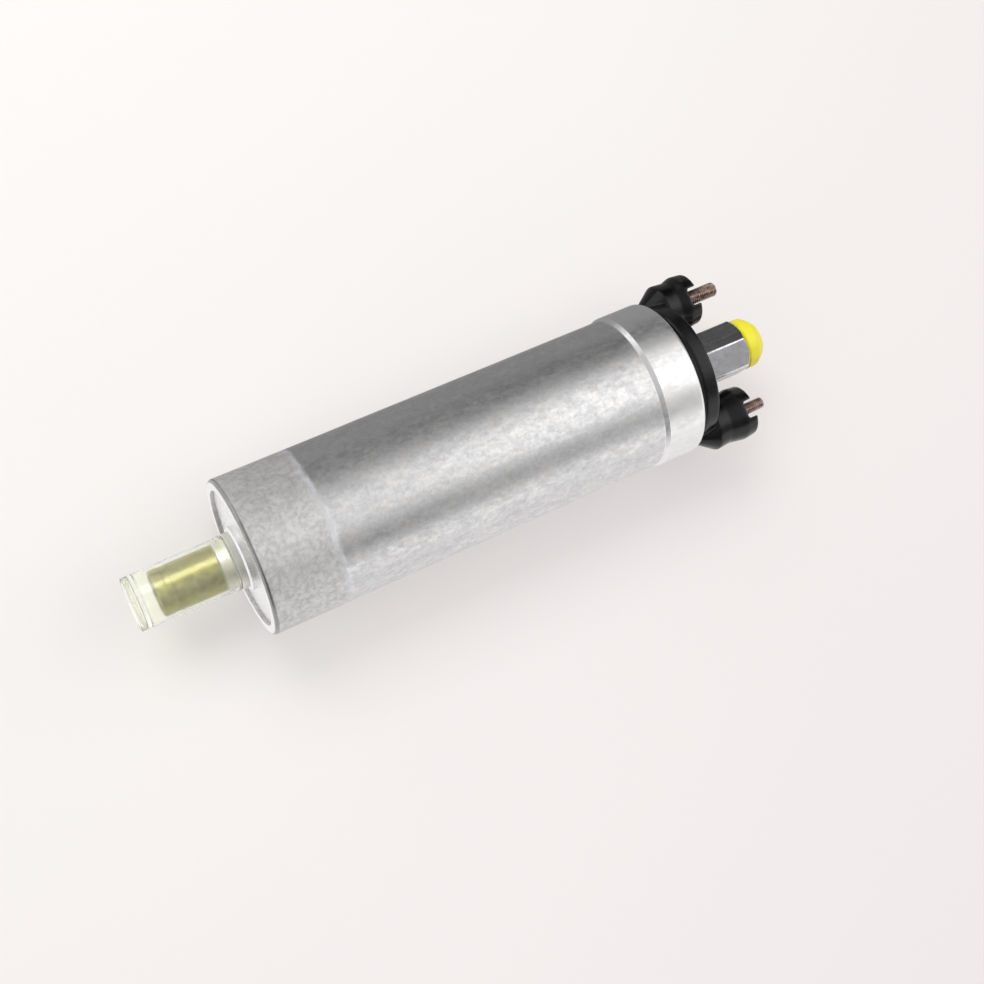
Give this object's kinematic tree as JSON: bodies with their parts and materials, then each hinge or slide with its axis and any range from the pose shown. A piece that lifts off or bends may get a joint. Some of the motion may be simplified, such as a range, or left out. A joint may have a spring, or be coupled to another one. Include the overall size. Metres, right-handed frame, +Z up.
{
  "type": "fuel pump",
  "caption": "Tubular in-line electric fuel pump: round metal shell, hose stub and hexagonal outlet under dust caps, black end cap with crowned terminal towers.",
  "frame": {"origin": "on the pump axis, half way between the two rolled rims of the housing tube", "axes": "+X along the pump axis from inlet to outlet, +Y towards the larger terminal, +Z up"},
  "size_m": [0.2296, 0.0612, 0.0534],
  "materials": {
    "housing_steel": "plated, bright with a frosted band",
    "cast_aluminium": "machined",
    "seal_rubber": "matte",
    "passivated_steel": "yellow passivated",
    "strainer_plastic": "natural",
    "clear_cap": "translucent",
    "sintered_steel": "ground",
    "machined_steel": "machined",
    "spring_steel": "drawn wire",
    "bronze": "sintered",
    "ferrite": "ground ceramic",
    "laminations": "stacked sheet",
    "insulating_fibre": "pressed fibre",
    "enamelled_copper": "varnished",
    "moulded_black": "glass-filled, moulded",
    "copper": "bright",
    "carbon": "pressed carbon",
    "coppered_steel": "copper washed",
    "plated_nut": "zinc plated",
    "yellow_cap": "moulded"
  },
  "bodies": {
    "pump_body": {"housing_tube": "housing_steel", "inlet_cover": "cast_aluminium", "inlet_oring": "seal_rubber", "inlet_spigot": "passivated_steel", "inlet_strainer": "strainer_plastic", "pump_inlet_plate": "cast_aluminium", "pump_ring": "sintered_steel", "pump_outlet_plate": "cast_aluminium", "pump_screws": "machined_steel", "relief_spring": "spring_steel", "relief_plug": "passivated_steel", "front_bearing": "bronze", "flux_ring": "machined_steel", "magnet_north": "ferrite", "magnet_south": "ferrite", "magnet_clips": "spring_steel", "brush_carrier": "moulded_black", "rear_bearing": "bronze", "bearing_retainer": "spring_steel", "brush_spring_pos": "spring_steel", "brush_spring_neg": "spring_steel", "brush_lead_pos": "copper", "brush_lead_neg": "copper", "terminal_strap_pos": "copper", "terminal_strap_neg": "copper", "terminal_stud_pos": "coppered_steel", "terminal_stud_neg": "coppered_steel", "terminal_washer_pos": "plated_nut", "terminal_washer_neg": "plated_nut", "terminal_nut_pos": "plated_nut", "terminal_nut_neg": "plated_nut", "end_cap": "moulded_black", "end_cap_oring": "seal_rubber", "outlet_insert": "machined_steel", "outlet_seal": "copper", "outlet_fitting": "machined_steel", "check_valve_spring": "spring_steel", "check_valve_retainer": "machined_steel"},
    "armature": {"armature_shaft": "machined_steel", "armature_core": "laminations", "armature_insulators": "insulating_fibre", "armature_windings": "enamelled_copper", "commutator_hub": "moulded_black", "commutator_segments": "copper", "thrust_washers": "machined_steel", "gerotor_inner": "sintered_steel"},
    "outer_rotor": {"gerotor_outer": "sintered_steel"},
    "relief_valve": {"relief_ball": "machined_steel"},
    "check_valve": {"check_valve_poppet": "moulded_black"},
    "brush_a": {"brush_pos": "carbon"},
    "brush_b": {"brush_neg": "carbon"},
    "inlet_dust_cap": {"inlet_cap": "clear_cap"},
    "outlet_dust_cap": {"outlet_cap": "yellow_cap"}
  },
  "joints": [
    {"name": "armature_spin", "type": "hinge", "parent": "pump_body", "child": "armature", "pos_m": [0, 0, 0], "axis": [1, 0, 0], "continuous": true},
    {"name": "outer_rotor_spin", "type": "hinge", "parent": "pump_body", "child": "outer_rotor", "pos_m": [-0.054, 0, 0.00135], "axis": [1, 0, 0], "continuous": true},
    {"name": "check_valve_lift", "type": "slide", "parent": "pump_body", "child": "check_valve", "axis": [1, 0, 0], "range_m": [0, 0.002], "stiffness_N_per_m": 150, "springref_m": -0.004, "deforming": ["check_valve_spring"]},
    {"name": "relief_valve_lift", "type": "slide", "parent": "pump_body", "child": "relief_valve", "axis": [-1, 0, 0], "range_m": [0, 0.0015], "stiffness_N_per_m": 1500, "springref_m": -0.004, "deforming": ["relief_spring"]},
    {"name": "brush_pos_slide", "type": "slide", "parent": "pump_body", "child": "brush_a", "axis": [1, 0, 0], "range_m": [0, 0.003], "stiffness_N_per_m": 300, "springref_m": -0.008, "deforming": ["brush_spring_pos", "brush_lead_pos"]},
    {"name": "brush_neg_slide", "type": "slide", "parent": "pump_body", "child": "brush_b", "axis": [1, 0, 0], "range_m": [0, 0.003], "stiffness_N_per_m": 300, "springref_m": -0.008, "deforming": ["brush_spring_neg", "brush_lead_neg"]},
    {"name": "inlet_cap_pull", "type": "slide", "parent": "pump_body", "child": "inlet_dust_cap", "axis": [-1, 0, 0], "range_m": [0, 0.045]},
    {"name": "outlet_cap_pull", "type": "slide", "parent": "pump_body", "child": "outlet_dust_cap", "axis": [1, 0, 0], "range_m": [0, 0.02]}
  ],
  "couplings": [
    {"joint": "outer_rotor_spin", "follows": "armature_spin", "ratio": 0.85714}
  ]
}
